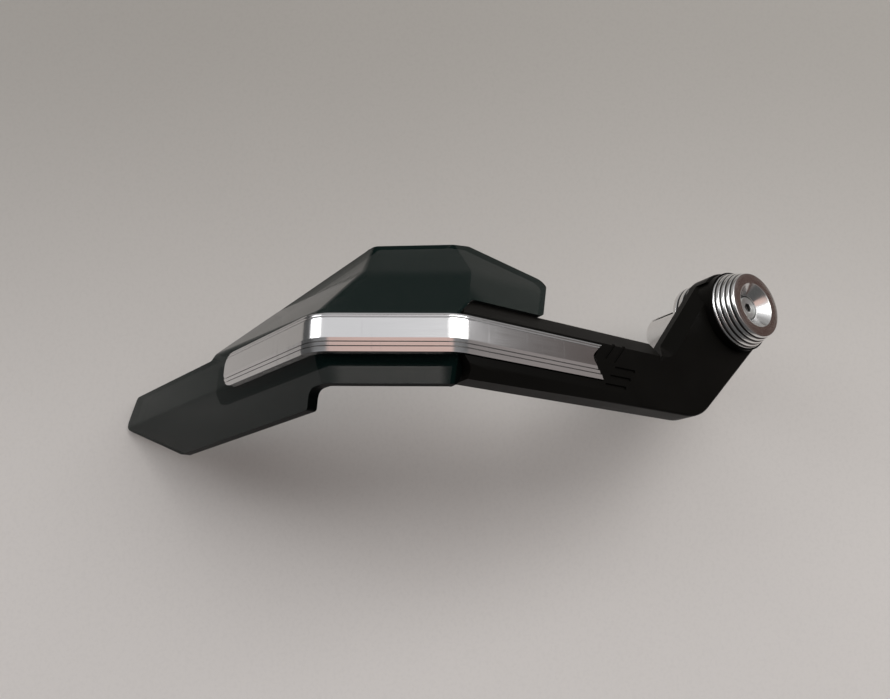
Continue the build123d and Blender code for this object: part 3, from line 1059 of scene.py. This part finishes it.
@dataclass
class Fixings:
    """Screws and washers along the back."""

    count: int = 5
    edge: SoftEdge = SoftEdge(0.10 * MM, 2)

    def build(self) -> None:
        """Soften and dress each screw and washer."""
        black = SCREW_BLACK.material()
        plate = BOLT_STEEL.material()
        for number in range(1, self.count + 1):
            soft_copy(f"fixing_screw_{number}", f"back_screw_{number}", black, self.edge)
            soft_copy(f"fixing_washer_{number}", f"back_washer_{number}", plate, self.edge)


@dataclass
class View:
    """Place of the camera, and its picture's right, up and back in the guard's frame."""

    eye: Vector = field(default_factory=lambda: Vector((-167.71, 211.46, -94.91)) * MM)
    right: Vector = field(default_factory=lambda: Vector((-0.5064, -0.8623, 0.0069)))
    up: Vector = field(default_factory=lambda: Vector((-0.2709, 0.1667, 0.9481)))
    back: Vector = field(default_factory=lambda: Vector((-0.8186, 0.4782, -0.318)))
    focal_pixels: float = 700.0
    sensor: float = 36.0
    clip_start: float = 10 * MM

    def direction(self, right: float, up: float, back: float) -> Vector:
        """Unit vector from shares along the picture's right, its up and towards the camera."""
        return (self.right * right + self.up * up + self.back * back).normalized()

    def build(self) -> None:
        """Set the camera."""
        data = bpy.data.cameras.new("camera")
        data.sensor_fit = "HORIZONTAL"
        data.sensor_width = self.sensor
        data.lens = self.focal_pixels / IMAGE_WIDTH * self.sensor
        data.clip_start = self.clip_start
        camera = bpy.data.objects.new("camera", data)
        turn = Matrix((self.right, self.up, self.back)).transposed().to_4x4()
        camera.matrix_world = Matrix.Translation(self.eye) @ turn
        bpy.context.scene.collection.objects.link(camera)
        bpy.context.scene.camera = camera
        LOG.info("set the camera")


@dataclass
class Table:
    """The pale table that the guard lies on, tilted as the guard rests on it."""

    view: View
    normal: Vector = field(default_factory=lambda: Vector((-0.862, 0.467, -0.196)).normalized())
    reach_left: float = 0.5
    reach_right: float = 0.5
    reach_down: float = 0.5
    reach_up: float = 0.168
    bright_from: float = -0.15
    dim_from: float = 0.17

    def lowest(self) -> float:
        """Distance along the normal of the lowest point of the guard."""
        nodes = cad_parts.values()
        return min(vertex.co.dot(self.normal) for node in nodes for vertex in node.data.vertices)

    def build(self) -> None:
        """Lay the table top under the guard, square to the picture."""
        view = self.view
        span = (view.eye.dot(self.normal) - self.lowest()) / view.back.dot(self.normal)
        foot = view.eye - view.back * span
        up = (view.up - self.normal * view.up.dot(self.normal)).normalized()
        right = up.cross(self.normal)
        middle = foot + right * (self.reach_right - self.reach_left) / 2
        middle += up * (self.reach_up - self.reach_down) / 2
        size = Vector((self.reach_left + self.reach_right, self.reach_up + self.reach_down, 1.0)) / 2
        turn = Matrix((right, up, self.normal)).transposed().to_4x4()
        shape = bmesh.new()
        bmesh.ops.create_grid(shape, x_segments=1, y_segments=1, size=1.0)
        place = Matrix.Translation(middle) @ turn @ Matrix.Diagonal((*size.xy, 1.0, 1.0))
        bmesh.ops.transform(shape, matrix=place, verts=shape.verts[:])
        mesh = bpy.data.meshes.new("table_top")
        shape.to_mesh(mesh)
        shape.free()
        # Where the painted shade on the table starts and where it is full.
        level = up.dot(foot)
        far_span = (level + self.bright_from, level + self.dim_from)
        laminate = replace(TABLE_TOP, far_axis=tuple(up), far_span=far_span)
        mesh.materials.append(laminate.material())
        top = bpy.data.objects.new("table_top", mesh)
        bpy.context.scene.collection.objects.link(top)
        LOG.info("laid the table")


@dataclass(frozen=True)
class Lamp:
    """A soft rectangular lamp, placed by shares along the picture's right, up and back."""

    name: str
    shares: Triple
    distance: float
    width: float
    height: float
    radiance: float
    colour: Colour

    def build(self, view: View) -> None:
        """Hang the lamp so that it faces the guard.

        Args:
            view: The camera's view, whose axes give the lamp's direction.
        """
        towards = view.direction(*self.shares)
        data = bpy.data.lights.new(self.name, "AREA")
        data.shape = "RECTANGLE"
        data.size = self.width
        data.size_y = self.height
        data.energy = self.radiance * math.pi * self.width * self.height
        data.color = self.colour
        lamp = bpy.data.objects.new(self.name, data)
        lamp.location = (CAD_BOX[0] + CAD_BOX[1]) / 2 + towards * self.distance
        across = (view.right - towards * view.right.dot(towards)).normalized()
        turn = Matrix((across, towards.cross(across), towards)).transposed()
        lamp.rotation_mode = "QUATERNION"
        lamp.rotation_quaternion = turn.to_quaternion()
        bpy.context.scene.collection.objects.link(lamp)
        LOG.info("hung %s", self.name)


@dataclass
class Room:
    """Soft lamps and the room round the table."""

    view: View
    ceiling: Colour = (0.80, 0.80, 0.81)
    wall: Colour = (0.34, 0.335, 0.33)
    dark_wall: Colour = (0.09, 0.09, 0.09)
    cupboard: Colour = (0.13, 0.115, 0.110)
    red_board: Colour = (0.068, 0.034, 0.026)
    pale_shelf: Colour = (0.31, 0.28, 0.27)
    warm_spot: Colour = (0.76, 0.55, 0.49)
    floor: Colour = (0.05, 0.048, 0.045)
    backdrop: Colour = (0.66, 0.65, 0.62)
    lamps: tuple[Lamp, ...] = (
        Lamp(
            "right_lamp",
            shares=(0.47, 0.55, 0.69),
            distance=0.9,
            width=0.74,
            height=0.45,
            radiance=3.8,
            colour=(1.0, 0.99, 0.975),
        ),
        Lamp(
            "left_lamp",
            shares=(-0.72, 0.51, 0.47),
            distance=0.9,
            width=0.38,
            height=0.40,
            radiance=2.6,
            colour=(0.98, 0.99, 1.0),
        ),
    )
    ceiling_span: Pair = (0.05, 0.60)
    lit_span: Pair = (-0.10, 0.45)
    left_span: Pair = (0.78, 0.92)
    right_span: Pair = (0.80, 0.89)
    cupboard_span: Pair = (0.0, 0.22)
    shelf_drop: Pair = (-0.24, -0.10)
    shelf_span: Pair = (0.15, 0.28)
    warm_span: Pair = (0.94, 0.985)
    floor_span: Pair = (0.16, 0.40)

    def world(self) -> None:
        """Set a bright ceiling, dim walls, a dark floor and a plain backdrop behind the guard."""
        world = bpy.data.worlds.new("room")
        bpy.context.scene.world = world
        world.use_nodes = True
        shader = Shader(world.node_tree)
        towards = shader.node("ShaderNodeTexCoord", {}, {}, "Generated")
        right = shader.along(towards, self.view.right)
        up = shader.along(towards, self.view.up)
        high = shader.along(towards, self.view.back)
        far = shader.colours(high.ramp(*self.ceiling_span), rgba(self.wall), rgba(self.ceiling))
        lit = shader.colours(up.ramp(*self.lit_span), rgba(self.dark_wall), far)
        left = shader.colours((0.0 - right).ramp(*self.left_span), lit, rgba(self.dark_wall))
        tall = high.ramp(*self.cupboard_span)
        board = shader.colours(tall, rgba(self.red_board), rgba(self.cupboard))
        shelf = (0.0 - up).ramp(*self.shelf_drop) * high.ramp(*self.shelf_span)
        store = shader.colours(shelf, board, rgba(self.pale_shelf))
        sides = shader.colours(right.ramp(*self.right_span), left, store)
        warm = shader.colours(high.ramp(*self.warm_span), sides, rgba(self.warm_spot))
        room = shader.colours((0.0 - high).ramp(*self.floor_span), warm, rgba(self.floor))
        seen = shader.node("ShaderNodeLightPath", {}, {}, "Is Camera Ray")
        shown = shader.colours(seen, room, rgba(self.backdrop))
        light = shader.node("ShaderNodeBackground", {}, {"Color": shown, "Strength": 1.0})
        shader.node("ShaderNodeOutputWorld", {}, {"Surface": light})

    def build(self) -> None:
        """Set the world and the lamps."""
        self.world()
        for lamp in self.lamps:
            lamp.build(self.view)
        bpy.context.scene.view_settings.view_transform = "Standard"
        LOG.info("set the room")


def main() -> None:
    """Build every sub-assembly, the table, the room and the camera."""
    logging.basicConfig(level=logging.INFO, format="%(name)s: %(message)s")
    view = View()
    pieces = (Arm(), Deflector(), TrimStrip(), BarEnd(), Fixings())
    for assembly in (*pieces, Table(view), Room(view), view):
        assembly.build()


if __name__ == "__main__":
    main()
